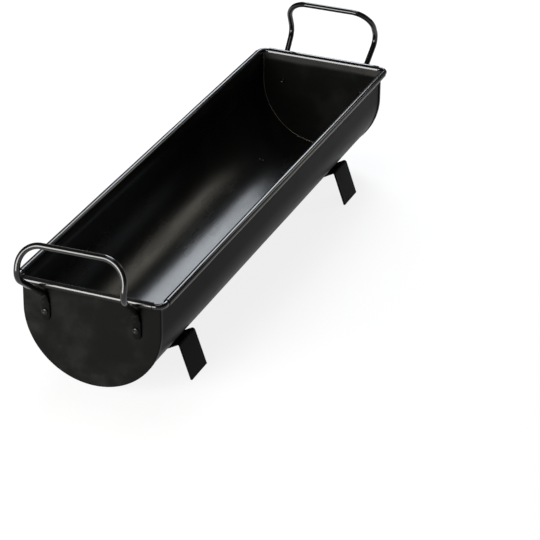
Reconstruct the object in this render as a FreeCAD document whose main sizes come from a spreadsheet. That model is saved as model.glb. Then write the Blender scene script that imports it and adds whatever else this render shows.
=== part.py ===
"""Window box planter: a half-round sheet-metal trough on two strip-steel brackets, with a rod handle at each end.

Frame: X along the box (front end at -X), Y across it, Z up. The origin is on the ground, under the middle.
Every sub-part is a separate piece as it would leave the workshop, in millimetres and degrees.
"""
import FreeCAD
import Part
import math
import os
from collections import namedtuple

import Sketcher

# Driving sizes: cell name, value, what it is.
SIZES = (
    # trough
    ("BoxLength", 627.0, "outer face to outer face of the end plates"),
    ("BodyRadius", 75.2, "outside of the half-round bottom"),
    ("WallRise", 33.5, "straight wall, from the bottom's axis to the middle of the rim bead"),
    ("GroundClearance", 16.8, "ground to the underside of the trough"),
    ("SheetThickness", 0.8, "trough and end plate sheet"),
    # rim
    ("RimWireDiameter", 6.0, "wire that the rim is rolled around"),
    ("RimWireGap", 0.1, "wire to the inside of the curl"),
    ("SideBeadOffset", 4.8, "wall's outer face to the middle of the side bead"),
    ("EndBeadOffset", 5.6, "end plate's outer face to the middle of the end bead"),
    ("FlareDrop", 8.0, "middle of the bead down to where the sheet starts to lean out"),
    ("CurlEndAngle", 130.0, "how far below the horizontal the curl's edge ends"),
    ("NotchDrop", 3.3, "middle of the bead down to the sheet's top edge at a corner"),
    ("RimCornerRadius", 8.0, "corner of the rim wire, at its middle"),
    ("SideBeadSetback", 12.0, "rim's corner to the end of a side bead"),
    ("EndBeadSetback", 10.0, "rim's corner to the end of an end bead"),
    # folded seam of an end plate over the trough
    ("SeamDepth", 5.0, "how far the folded edge covers the trough"),
    ("SeamGap", 0.05, "trough to the inside of the folded edge"),
    # brackets
    ("BracketSpacing", 440.0, "middle to middle of the two brackets"),
    ("BracketWidth", 38.0, "strip width"),
    ("StripThickness", 2.0, "strip thickness"),
    ("StripGap", 0.05, "trough to the strip under it"),
    ("CradleAngle", 30.0, "half of the arc that the strip follows under the trough"),
    ("BendHalfWidth", 61.7, "middle plane to the top corner of a foot's bend"),
    ("LegSplay", 19.5, "leg from the vertical"),
    ("BendRadius", 1.0, "inside of the foot's bend"),
    # handles
    ("RodDiameter", 6.5, "handle rod"),
    ("RodGap", 0.2, "end plate to the rod above the tab"),
    ("TabWidth", 10.0, "flattened end of the rod"),
    ("TabThickness", 3.2, "flattened end of the rod"),
    ("TabGap", 0.05, "end plate to the tab"),
    ("TabSpacing", 100.0, "rivet to rivet of one handle"),
    ("TabRivetDrop", 33.0, "middle of the bead down to the tab's rivet"),
    ("TabBelowRivet", 8.0, "rivet to the tab's lower end"),
    ("TabAboveRivet", 7.0, "rivet to the top of the flat"),
    ("TabBendDrop", 13.0, "middle of the bead down to the rod's first corner"),
    ("FrontWidth", 115.0, "leg to leg of the front loop, at the rod's middle"),
    ("RearWidth", 106.5, "leg to leg of the rear loop, at the rod's middle"),
    ("FrontReach", 46.0, "front end plate out to the rod's second corner"),
    ("RearReach", 42.0, "rear end plate out to the rod's second corner"),
    ("FrontOverhang", 37.5, "front end plate out to the grip"),
    ("RearOverhang", 19.5, "rear end plate out to the grip"),
    ("HandleReachRise", 24.0, "middle of the bead up to the rod's second corner"),
    ("HandleRise", 61.0, "middle of the bead up to the grip"),
    ("TabBendRadius", 10.0, "rod's first bend, at its middle"),
    ("ReachBendRadius", 15.0, "rod's second bend, at its middle"),
    ("GripCornerRadius", 24.5, "loop's top corner, at its middle"),
    # rivets
    ("ShankDiameter", 4.0, "rivet shank"),
    ("ShankGap", 0.05, "shank to the wall of its hole"),
    ("RivetSeatGap", 0.1, "slack under a rivet's tail"),
    ("HeadDiameter", 7.4, "domed head, outside"),
    ("HeadHeight", 1.9, "domed head, outside"),
    ("TailDiameter", 6.4, "rolled tail, inside"),
    ("TailHeight", 1.3, "rolled tail, inside"),
    ("DimpleDiameter", 2.6, "hollow in the tail"),
    ("DimpleDepth", 0.9, "hollow in the tail"),
    ("RivetAngle", 31.0, "bracket rivet, around the bottom from its lowest line"),
)

# Sizes that follow from the driving ones.
LINKS = (
    ("AxisHeight", "Sizes.GroundClearance + Sizes.BodyRadius"),
    ("RimHeight", "Links.AxisHeight + Sizes.WallRise"),
    ("InnerRadius", "Sizes.BodyRadius - Sizes.SheetThickness"),
    ("PlateFace", "Sizes.BoxLength / 2"),
    ("PlateInside", "Links.PlateFace - Sizes.SheetThickness"),
    ("CurlInside", "Sizes.RimWireDiameter / 2 + Sizes.RimWireGap"),
    ("CurlOutside", "Links.CurlInside + Sizes.SheetThickness"),
    ("SideBead", "Sizes.BodyRadius + Sizes.SideBeadOffset"),
    ("EndBead", "Links.PlateFace + Sizes.EndBeadOffset"),
    ("FlareHeight", "Links.RimHeight - Sizes.FlareDrop"),
    ("NotchHeight", "Links.RimHeight - Sizes.NotchDrop"),
    ("SideBeadLength", "2 * (Links.EndBead - Sizes.SideBeadSetback)"),
    ("EndBeadLength", "2 * (Links.SideBead - Sizes.EndBeadSetback)"),
    ("SeamInside", "Sizes.BodyRadius + Sizes.SeamGap"),
    ("SeamOutside", "Links.SeamInside + Sizes.SheetThickness"),
    ("StripInside", "Sizes.BodyRadius + Sizes.StripGap"),
    ("StripOutside", "Links.StripInside + Sizes.StripThickness"),
    ("BendOutside", "Sizes.BendRadius + Sizes.StripThickness"),
    ("HoleRadius", "Sizes.ShankDiameter / 2 + Sizes.ShankGap"),
    ("TabRivetHeight", "Links.RimHeight - Sizes.TabRivetDrop"),
)

# One edge of an outline: where it starts and, for an arc, its middle and its sense.
Edge = namedtuple("Edge", "x y cx cy anticlockwise", defaults=(None, None, True))

SCRATCH_CELL = "A1"


def name_cells(sheet, rows, prefix=""):
    """Write one named cell per row, under the scratch cell."""
    for line, (name, content, *remark) in enumerate(rows, start=2):
        sheet.set(f"A{line}", name)
        sheet.set(f"B{line}", prefix + str(content))
        sheet.setAlias(f"B{line}", name)
        sheet.set(f"C{line}", "".join(remark))


doc = FreeCAD.newDocument("window_box_planter")
sizes = doc.addObject("Spreadsheet::Sheet", "Sizes")
name_cells(sizes, SIZES)
links = doc.addObject("Spreadsheet::Sheet", "Links")
name_cells(links, [(name, formula.replace("Links.", "")) for name, formula in LINKS], "=")
doc.recompute()


def number(formula):
    """The present value of a formula of the sheets' cells."""
    links.set(SCRATCH_CELL, "=" + formula.replace("Links.", ""))
    links.recompute()
    value = links.get(SCRATCH_CELL)
    return float(getattr(value, "Value", value))


def minus(formula):
    return f"-({formula})"


def origin_plane(body, role):
    """One of a body's own three planes."""
    return next(plane for plane in body.Origin.OriginFeatures if plane.Role == role)


def new_body(name):
    body = doc.addObject("PartDesign::Body", name)
    body.Label = name
    return body


def new_sketch(body, name, role, height=None, tilt=None):
    """An empty sketch on one of the body's planes, moved along the plane's normal or tilted about its X."""
    sketch = body.newObject("Sketcher::SketchObject", name)
    sketch.AttachmentSupport = (origin_plane(body, role), "")
    sketch.MapMode = "FlatFace"
    if height:
        sketch.setExpression("AttachmentOffset.Base.z", height)
    if tilt:
        sketch.AttachmentOffset = FreeCAD.Placement(
            FreeCAD.Vector(), FreeCAD.Rotation(FreeCAD.Vector(1, 0, 0), number(tilt))
        )
        sketch.setExpression("AttachmentOffset.Rotation.Angle", tilt)
    return sketch


def tie(sketch, kind, geometry, point, formula):
    """Fix one coordinate of a point of the sketch by a formula."""
    index = sketch.addConstraint(
        Sketcher.Constraint(kind, -1, 1, geometry, point, number(formula))
    )
    sketch.setExpression(f"Constraints[{index}]", formula)


def edge_geometry(edge, start, end):
    """The line or arc of an edge, with the numbers of its start and end points."""
    if edge.cx is None:
        return Part.LineSegment(start, end), 1, 2
    middle = FreeCAD.Vector(number(edge.cx), number(edge.cy), 0)
    first, last = (start, end) if edge.anticlockwise else (end, start)
    circle = Part.Circle(middle, FreeCAD.Vector(0, 0, 1), (start - middle).Length)
    angles = [math.atan2(point.y - middle.y, point.x - middle.x) for point in (first, last)]
    while angles[1] <= angles[0]:
        angles[1] += 2 * math.pi
    arc = Part.ArcOfCircle(circle, *angles)
    return (arc, 1, 2) if edge.anticlockwise else (arc, 2, 1)


def draw(sketch, edges):
    """Draw a closed outline whose every corner and arc follows the sheets."""
    corners = [FreeCAD.Vector(number(edge.x), number(edge.y), 0) for edge in edges]
    ends = []
    for index, edge in enumerate(edges):
        start, end = corners[index], corners[(index + 1) % len(edges)]
        geometry, first, last = edge_geometry(edge, start, end)
        ends.append((sketch.addGeometry(geometry, False), first, last))
    for index, edge in enumerate(edges):
        geometry, first, _ = ends[index]
        before, _, last = ends[index - 1]
        sketch.addConstraint(Sketcher.Constraint("Coincident", before, last, geometry, first))
        tie(sketch, "DistanceX", geometry, first, edge.x)
        tie(sketch, "DistanceY", geometry, first, edge.y)
        if edge.cx is not None:
            chord = corners[(index + 1) % len(edges)] - corners[index]
            if abs(chord.x) > abs(chord.y):
                tie(sketch, "DistanceY", geometry, 3, edge.cy)
            else:
                tie(sketch, "DistanceX", geometry, 3, edge.cx)


def draw_circle(sketch, x, y, radius):
    """Draw a circle whose middle and radius follow the sheets."""
    middle = FreeCAD.Vector(number(x), number(y), 0)
    circle = Part.Circle(middle, FreeCAD.Vector(0, 0, 1), number(radius))
    geometry = sketch.addGeometry(circle, False)
    tie(sketch, "DistanceX", geometry, 3, x)
    tie(sketch, "DistanceY", geometry, 3, y)
    index = sketch.addConstraint(Sketcher.Constraint("Radius", geometry, number(radius)))
    sketch.setExpression(f"Constraints[{index}]", radius)


def both_sides(half, closing=None):
    """Complete an outline that is symmetric about its Y axis.

    half holds the corners at +X in order, and its last edge crosses the axis. closing is the middle of the
    arc that crosses back before the first corner, or None for a line.
    """
    mirrored = []
    for index in range(len(half) - 1, -1, -1):
        corner = half[index]
        if index:
            before = half[index - 1]
            centre = (minus(before.cx), before.cy) if before.cx is not None else (None, None)
            mirrored.append(Edge(minus(corner.x), corner.y, *centre, before.anticlockwise))
        else:
            mirrored.append(Edge(minus(corner.x), corner.y, *(closing or (None, None))))
    return list(half) + mirrored


def pad(body, sketch, length, symmetric=False):
    feature = body.newObject("PartDesign::Pad", sketch.Name + "_pad")
    feature.Profile = sketch
    feature.SideType = "Symmetric" if symmetric else "One side"
    feature.setExpression("Length", length)
    return feature


def cut_through(body, sketch):
    """Cut the sketch's circles through the body, against the sketch's normal."""
    feature = body.newObject("PartDesign::Pocket", sketch.Name + "_pocket")
    feature.Profile = sketch
    feature.Type = "ThroughAll"
    return feature


def mirror(body, features, role):
    """Repeat features on the other side of one of the body's planes."""
    feature = body.newObject("PartDesign::Mirrored", features[-1].Name + "_mirrored")
    feature.Originals = features
    feature.MirrorPlane = (origin_plane(body, role), [""])
    body.Tip = feature
    return feature


def lean_formula(inside, bead):
    """How far the sheet leans out so that its inner face meets the curl's outside smoothly."""
    across = f"({bead} - {inside})"
    return (
        f"90 deg - atan(Sizes.FlareDrop / {across})"
        f" - asin(Links.CurlOutside / sqrt(Sizes.FlareDrop ^ 2 + {across} ^ 2))"
    )


def flare_outline(inside, outside, lean):
    """The leaning sheet below the bead, up to the notch at a corner: outer face first."""
    start = f"Links.FlareHeight - Sizes.SheetThickness * tan(({lean}) / 2)"
    return [
        Edge(outside, start),
        Edge(f"{outside} + (Links.NotchHeight - ({start})) * tan({lean})", "Links.NotchHeight"),
        Edge(f"{inside} + (Links.NotchHeight - Links.FlareHeight) * tan({lean})", "Links.NotchHeight"),
        Edge(inside, "Links.FlareHeight"),
    ]


def curl_outline(inside, outside, bead, lean):
    """The leaning sheet and its curl around the rim wire."""
    height = "Links.RimHeight"

    def around(radius, cosine, sine):
        return f"{bead} + {radius} * {cosine}", f"{height} + {radius} * {sine}"

    tangent = (f"-cos({lean})", f"sin({lean})")
    edge = ("cos(Sizes.CurlEndAngle)", "-sin(Sizes.CurlEndAngle)")
    flare = flare_outline(inside, outside, lean)
    return [
        flare[0],
        Edge(*around("Links.CurlInside", *(f"({part})" for part in tangent)), bead, height, False),
        Edge(*around("Links.CurlInside", *(f"({part})" for part in edge))),
        Edge(*around("Links.CurlOutside", *(f"({part})" for part in edge)), bead, height, True),
        Edge(*around("Links.CurlOutside", *(f"({part})" for part in tangent))),
        flare[-1],
    ]


def trough_body():
    """The bent sheet: half-round bottom, straight walls leaning out into a curl along each long side."""
    body = new_body("trough_body")
    lean = lean_formula("Links.InnerRadius", "Links.SideBead")
    wall = ("Links.InnerRadius", "Sizes.BodyRadius")
    section = new_sketch(body, "trough_section", "YZ_Plane")
    half = [
        Edge("Sizes.BodyRadius", "Links.AxisHeight"),
        *flare_outline(*wall, lean),
        Edge("Links.InnerRadius", "Links.AxisHeight", "0", "Links.AxisHeight", False),
    ]
    draw(section, both_sides(half, ("0", "Links.AxisHeight")))
    pad(body, section, "2 * Links.PlateInside", symmetric=True)
    curl = new_sketch(body, "side_curl", "YZ_Plane")
    draw(curl, curl_outline(*wall, "Links.SideBead", lean))
    side_curl = pad(body, curl, "Links.SideBeadLength", symmetric=True)
    holes = bracket_holes(body, "trough_holes", ("Sizes.BracketSpacing / 2", "-Sizes.BracketSpacing / 2"))
    mirror(body, [side_curl, holes], "XZ_Plane")
    return body


def bracket_holes(body, name, places):
    """Rivet holes along X, square to the half-round bottom at the rivets' angle on the +Y side."""
    sketch = new_sketch(body, name, "XY_Plane", tilt="Sizes.RivetAngle")
    sketch.setExpression("AttachmentOffset.Base.z", "Links.AxisHeight")
    for place in places:
        draw_circle(sketch, place, "0", "Links.HoleRadius")
    return cut_through(body, sketch)


def end_plate(name, turn):
    """A D-shaped plate: flat panel, edge folded over the trough's end, curl along its top."""
    body = new_body(name)
    lean = lean_formula("Links.PlateInside", "Links.EndBead")
    faces = ("Links.PlateInside", "Links.PlateFace")
    axis = ("0", "Links.AxisHeight")
    panel = new_sketch(body, name + "_panel", "YZ_Plane", height="Links.PlateInside")
    outer = [
        Edge("Links.SeamOutside", "Links.AxisHeight"),
        Edge("Links.SeamOutside", "Links.FlareHeight"),
    ]
    draw(panel, both_sides(outer, axis))
    pad(body, panel, "Sizes.SheetThickness")
    seam = new_sketch(body, name + "_seam", "YZ_Plane", height="Links.PlateFace - Sizes.SeamDepth")
    inner = [
        Edge("Links.SeamInside", "Links.FlareHeight"),
        Edge("Links.SeamInside", "Links.AxisHeight", *axis, False),
    ]
    draw(seam, both_sides(outer + inner, axis))
    pad(body, seam, "Sizes.SeamDepth")
    flare = new_sketch(body, name + "_flare", "XZ_Plane")
    draw(flare, flare_outline(*faces, lean))
    pad(body, flare, "2 * Links.SeamOutside", symmetric=True)
    curl = new_sketch(body, name + "_curl", "XZ_Plane")
    draw(curl, curl_outline(*faces, "Links.EndBead", lean))
    pad(body, curl, "Links.EndBeadLength", symmetric=True)
    holes = new_sketch(body, name + "_holes", "YZ_Plane", height="Links.PlateFace + Sizes.EndBeadOffset")
    for side in ("Sizes.TabSpacing / 2", "-Sizes.TabSpacing / 2"):
        draw_circle(holes, side, "Links.TabRivetHeight", "Links.HoleRadius")
    cut_through(body, holes)
    body.Placement = FreeCAD.Placement(FreeCAD.Vector(), FreeCAD.Rotation(FreeCAD.Vector(0, 0, 1), turn))
    return body


def rim_wire():
    """The closed wire inside the rim's curls, bare at its four corners."""
    body = new_body("rim_wire")
    path = new_sketch(body, "rim_path", "XY_Plane", height="Links.RimHeight")
    long_end = "Links.EndBead - Sizes.RimCornerRadius"
    wide_end = "Links.SideBead - Sizes.RimCornerRadius"
    corner = (long_end, wide_end)
    draw(path, [
        Edge("0", minus("Links.SideBead")),
        Edge(long_end, minus("Links.SideBead"), long_end, minus(wide_end)),
        Edge("Links.EndBead", minus(wide_end)),
        Edge("Links.EndBead", wide_end, *corner),
        Edge(long_end, "Links.SideBead"),
        Edge(minus(long_end), "Links.SideBead", minus(long_end), wide_end),
        Edge(minus("Links.EndBead"), wide_end),
        Edge(minus("Links.EndBead"), minus(wide_end), minus(long_end), minus(wide_end)),
        Edge(minus(long_end), minus("Links.SideBead")),
    ])
    section = new_sketch(body, "rim_section", "YZ_Plane")
    draw_circle(section, minus("Links.SideBead"), "Links.RimHeight", "Sizes.RimWireDiameter / 2")
    pipe = body.newObject("PartDesign::AdditivePipe", "rim_pipe")
    pipe.Profile = section
    pipe.Spine = (path, [f"Edge{index + 1}" for index in range(path.GeometryCount)])
    return body


def bracket(name, place):
    """A strip that cradles the bottom and is bent down at both sides into two legs."""
    body = new_body(name)
    rise, splay = "Sizes.CradleAngle", "Sizes.LegSplay"
    run = f"((Sizes.BendHalfWidth - Links.StripInside * sin({rise})) / cos({rise}))"
    top = f"(Links.AxisHeight - Links.StripInside * cos({rise}) + {run} * sin({rise}))"
    spread = f"(Links.BendOutside / (1 - sin({rise} - {splay})))"
    bend_x = f"(Sizes.BendHalfWidth + {spread} * (sin({rise}) - cos({splay})))"
    bend_y = f"({top} - {spread} * (cos({rise}) + sin({splay})))"

    def cradle(radius):
        return f"{radius} * sin({rise})", f"Links.AxisHeight - {radius} * cos({rise})"

    def bend_start(radius):
        return f"{bend_x} - {radius} * sin({rise})", f"{bend_y} + {radius} * cos({rise})"

    def bend_end(radius):
        return f"{bend_x} + {radius} * cos({splay})", f"{bend_y} + {radius} * sin({splay})"

    def ground(radius):
        x, y = bend_end(radius)
        return f"{x} + ({y}) * tan({splay})", "0"

    inside, outside = "Sizes.BendRadius", "Links.BendOutside"
    section = new_sketch(body, name + "_section", "YZ_Plane")
    draw(section, both_sides(
        [
            Edge(*cradle("Links.StripOutside")),
            Edge(*bend_start(inside), bend_x, bend_y, False),
            Edge(*bend_end(inside)),
            Edge(*ground(inside)),
            Edge(*ground(outside)),
            Edge(*bend_end(outside), bend_x, bend_y, True),
            Edge(*bend_start(outside)),
            Edge(*cradle("Links.StripInside"), "0", "Links.AxisHeight", False),
        ],
        ("0", "Links.AxisHeight"),
    ))
    pad(body, section, "Sizes.BracketWidth", symmetric=True)
    mirror(body, [bracket_holes(body, name + "_holes", ["0"])], "XZ_Plane")
    body.setExpression("Placement.Base.x", place)
    return body


def rounded_path(corners, radii):
    """A wire of straight runs joined by tangent arcs at its inner corners.

    Each arc has its radius from radii, or a smaller one where its two runs have no room for it.
    """
    runs = [after - before for before, after in zip(corners, corners[1:])]
    turns = [before.getAngle(after) for before, after in zip(runs, runs[1:])]
    reaches = [0.0, *(radius * math.tan(turn / 2) for radius, turn in zip(radii, turns)), 0.0]
    room = [min(1.0, run.Length / (reaches[i] + reaches[i + 1])) for i, run in enumerate(runs)]
    edges = []
    start = corners[0]
    for i, turn in enumerate(turns, start=1):
        corner = corners[i]
        back, ahead = (-runs[i - 1]).normalize(), FreeCAD.Vector(runs[i]).normalize()
        reach = reaches[i] * min(room[i - 1], room[i])
        depth = reach * (1 / math.sin(turn / 2) - 1 / math.tan(turn / 2))
        leave, arrive = corner + back * reach, corner + ahead * reach
        crown = corner + (back + ahead).normalize() * depth
        edges.append(Part.LineSegment(start, leave).toShape())
        edges.append(Part.Arc(leave, crown, arrive).toShape())
        start = arrive
    edges.append(Part.LineSegment(start, corners[-1]).toShape())
    return Part.Wire(edges)


def handle_shape(end):
    """One end's handle, made at +X. Its rod bends in more than one plane, so no one sketch can hold its route."""
    size = {name: number("Sizes." + name) for name, *_ in SIZES}
    face, rim = number("Links.PlateFace"), number("Links.RimHeight")
    radius = size["RodDiameter"] / 2
    rod_x = face + size["RodGap"] + radius
    tab_x = face + size["TabGap"] + size["TabThickness"] / 2
    tab_y, loop_y = size["TabSpacing"] / 2, size[end + "Width"] / 2
    rivet_z = rim - size["TabRivetDrop"]
    flat_top = rivet_z + size["TabAboveRivet"]
    first_bend = FreeCAD.Vector(rod_x, tab_y, rim - size["TabBendDrop"])
    second_bend = FreeCAD.Vector(face + size[end + "Reach"], loop_y, rim + size["HandleReachRise"])
    grip_end = FreeCAD.Vector(face + size[end + "Overhang"], loop_y, rim + size["HandleRise"])
    turn = (second_bend - first_bend).getAngle(FreeCAD.Vector(0, 0, 1))
    bend_start = first_bend.z - size["TabBendRadius"] * math.tan(turn / 2)
    rod_start = FreeCAD.Vector(rod_x, tab_y, (bend_start + flat_top) / 2)
    side = [rod_start, first_bend, second_bend, grip_end]
    other = [FreeCAD.Vector(point.x, -point.y, point.z) for point in reversed(side)]
    bends = [size["TabBendRadius"], size["ReachBendRadius"], size["GripCornerRadius"]]
    route = rounded_path(side + other, bends + bends[::-1])
    ring = Part.Wire(Part.Circle(rod_start, FreeCAD.Vector(0, 0, 1), radius).toShape())
    shape = route.makePipeShell([ring], True, False)
    for y in (tab_y, -tab_y):
        shape = shape.fuse(flattened_end(size, tab_x, rod_start, y, rivet_z, flat_top))
        hole = Part.makeCylinder(
            number("Links.HoleRadius"),
            size["RodDiameter"],
            FreeCAD.Vector(face, y, rivet_z),
            FreeCAD.Vector(1, 0, 0),
        )
        shape = shape.cut(hole)
    return shape.removeSplitter()


def flattened_end(size, tab_x, rod_start, y, rivet_z, flat_top):
    """The flat tab with a round lower end, and the shoulder that swells from it into the round rod."""
    width, thickness = size["TabWidth"], size["TabThickness"]
    rod = size["RodDiameter"]
    tip_z = rivet_z - size["TabBelowRivet"] + width / 2
    corner = FreeCAD.Vector(tab_x - thickness / 2, y - width / 2, tip_z)
    tab = Part.makeBox(thickness, width, flat_top - tip_z, corner)
    tip_start = FreeCAD.Vector(corner.x, y, tip_z)
    tip = Part.makeCylinder(width / 2, thickness, tip_start, FreeCAD.Vector(1, 0, 0))
    low = FreeCAD.Vector(tab_x, y, flat_top - thickness / 2)
    high = FreeCAD.Vector(rod_start.x, y, rod_start.z)
    sections = []
    for share in (0.0, 0.5, 1.0):
        middle = low + (high - low) * share
        half_width = (width + (rod - width) * share) / 2
        half_depth = (thickness + (rod - thickness) * share) / 2
        if share < 1:
            across = middle + FreeCAD.Vector(0, half_width, 0)
            outline = Part.Ellipse(across, middle + FreeCAD.Vector(half_depth, 0, 0), middle)
        else:
            outline = Part.Circle(middle, FreeCAD.Vector(0, 0, 1), half_width)
        sections.append(Part.Wire(outline.toShape()))
    return tab.fuse(tip).fuse(Part.makeLoft(sections, True))


def handle(name, end, turn):
    """A rod handle, bent and flattened from one length of rod."""
    feature = doc.addObject("Part::Feature", name)
    feature.Label = name
    feature.Shape = handle_shape(end)
    feature.Placement = FreeCAD.Placement(FreeCAD.Vector(), FreeCAD.Rotation(FreeCAD.Vector(0, 0, 1), turn))
    return feature


def rivet(name, grip, place, axis, angle):
    """A domed rivet: head above its own origin, shank and rolled tail below.

    grip is the formula of the thickness that it clamps, place its head's seat, and axis and angle turn it.
    """
    body = new_body(name)
    dome = "((Sizes.HeadDiameter ^ 2 / 4 + Sizes.HeadHeight ^ 2) / (2 * Sizes.HeadHeight))"
    seat = f"-({grip} + Sizes.RivetSeatGap)"
    tail = f"({seat} - Sizes.TailHeight)"
    section = new_sketch(body, name + "_section", "XZ_Plane")
    draw(section, [
        Edge("0", f"{tail} + Sizes.DimpleDepth"),
        Edge("Sizes.DimpleDiameter / 4", f"{tail} + Sizes.DimpleDepth"),
        Edge("Sizes.DimpleDiameter / 2", tail),
        Edge("Sizes.TailDiameter / 2 - Sizes.TailHeight / 3", tail),
        Edge("Sizes.TailDiameter / 2", f"{tail} + Sizes.TailHeight / 3"),
        Edge("Sizes.TailDiameter / 2", seat),
        Edge("Sizes.ShankDiameter / 2", seat),
        Edge("Sizes.ShankDiameter / 2", "0"),
        Edge("Sizes.HeadDiameter / 2", "0", "0", f"Sizes.HeadHeight - {dome}", True),
        Edge("0", "Sizes.HeadHeight"),
    ])
    turned = body.newObject("PartDesign::Revolution", name + "_turned")
    turned.Profile = section
    turned.ReferenceAxis = (section, ["V_Axis"])
    turned.Angle = 360
    body.Placement = FreeCAD.Placement(FreeCAD.Vector(), FreeCAD.Rotation(axis, number(angle)))
    body.setExpression("Placement.Rotation.Angle", angle)
    for letter, formula in zip("xyz", place):
        body.setExpression(f"Placement.Base.{letter}", formula)
    return body


def handle_rivets():
    """Two rivets to a handle, heads outside the end plate."""
    grip = "Sizes.SheetThickness + Sizes.TabGap + Sizes.TabThickness"
    seat = "Links.PlateFace + Sizes.TabGap + Sizes.TabThickness"
    rivets = []
    for end, place, angle in (("front", minus(seat), "-90"), ("rear", seat, "90")):
        for side, across in (("left", "Sizes.TabSpacing / 2"), ("right", "-Sizes.TabSpacing / 2")):
            spot = (place, across, "Links.TabRivetHeight")
            rivets.append(rivet(f"{end}_handle_rivet_{side}", grip, spot, FreeCAD.Vector(0, 1, 0), angle))
    return rivets


def bracket_rivets():
    """Two rivets to a bracket, square to the half-round bottom, heads below the strip."""
    grip = "Sizes.SheetThickness + Sizes.StripGap + Sizes.StripThickness"
    height = "Links.AxisHeight - Links.StripOutside * cos(Sizes.RivetAngle)"
    across = "Links.StripOutside * sin(Sizes.RivetAngle)"
    rivets = []
    for end, place in (("front", "-Sizes.BracketSpacing / 2"), ("rear", "Sizes.BracketSpacing / 2")):
        for side, spot, angle in (
            ("left", across, "180 + Sizes.RivetAngle"),
            ("right", minus(across), "180 - Sizes.RivetAngle"),
        ):
            where = (place, spot, height)
            rivets.append(rivet(f"{end}_bracket_rivet_{side}", grip, where, FreeCAD.Vector(1, 0, 0), angle))
    return rivets


def check_and_export(subparts):
    """Stop on any failed object or bad shape, then write each sub-part."""
    for item in doc.Objects:
        if {"Invalid", "Error"} & set(item.State):
            raise RuntimeError(f"{item.Name} failed: {item.State}")
    for item in subparts:
        shape = item.Shape
        if shape.isNull() or not shape.isValid() or not shape.Solids:
            raise RuntimeError(f"{item.Label} has no sound solid")
    os.makedirs("parts", exist_ok=True)
    for item in subparts:
        item.Shape.exportStep(f"parts/{item.Label}.step")
        print(f"{item.Label:28s} solids {len(item.Shape.Solids)} volume {item.Shape.Volume:12.1f} mm3")


SUBPARTS = [
    trough_body(),
    end_plate("front_end_plate", 180),
    end_plate("rear_end_plate", 0),
    rim_wire(),
    bracket("front_bracket", "-Sizes.BracketSpacing / 2"),
    bracket("rear_bracket", "Sizes.BracketSpacing / 2"),
    handle("front_handle", "Front", 180),
    handle("rear_handle", "Rear", 0),
    *handle_rivets(),
    *bracket_rivets(),
]
doc.recompute()
check_and_export(SUBPARTS)
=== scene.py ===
"""Window box planter: the dressed model, its studio and its camera.

The frame is the part's own: X along the trough with the front end at -X, Y across it with the left side
at +Y, Z up, and the origin on the ground under the middle of the trough. Every length is in metres.
"""
import logging
from dataclasses import dataclass, replace
from enum import Enum
from math import asin, atan2, copysign, cos, degrees, exp, hypot, pi, radians, sin, sqrt, tan
from typing import Optional, Sequence, Union

import bmesh
import bpy
from mathutils import Matrix, Vector, noise


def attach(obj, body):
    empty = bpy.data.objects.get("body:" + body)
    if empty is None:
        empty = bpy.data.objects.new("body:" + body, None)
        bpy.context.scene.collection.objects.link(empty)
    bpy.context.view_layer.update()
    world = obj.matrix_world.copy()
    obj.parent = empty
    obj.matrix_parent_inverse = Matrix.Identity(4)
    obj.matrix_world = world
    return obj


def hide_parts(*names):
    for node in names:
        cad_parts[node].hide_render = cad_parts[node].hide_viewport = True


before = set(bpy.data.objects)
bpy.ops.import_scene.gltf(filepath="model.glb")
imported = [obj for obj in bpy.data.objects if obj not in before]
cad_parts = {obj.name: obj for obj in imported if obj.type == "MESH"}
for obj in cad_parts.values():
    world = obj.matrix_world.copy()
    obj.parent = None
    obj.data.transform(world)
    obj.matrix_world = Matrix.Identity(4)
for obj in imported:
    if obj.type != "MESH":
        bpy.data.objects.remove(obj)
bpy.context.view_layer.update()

log = logging.getLogger("window_box_planter")

BODY = "root"
MM = 0.001
UP = Vector((0.0, 0.0, 1.0))
ALONG = Vector((1.0, 0.0, 0.0))
CURL_STEPS = 26
LATHE_STEPS = 40
Point = tuple[float, float]
Span = tuple[float, float]
Face = tuple[int, ...]


# ---- Sizes ----


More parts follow.
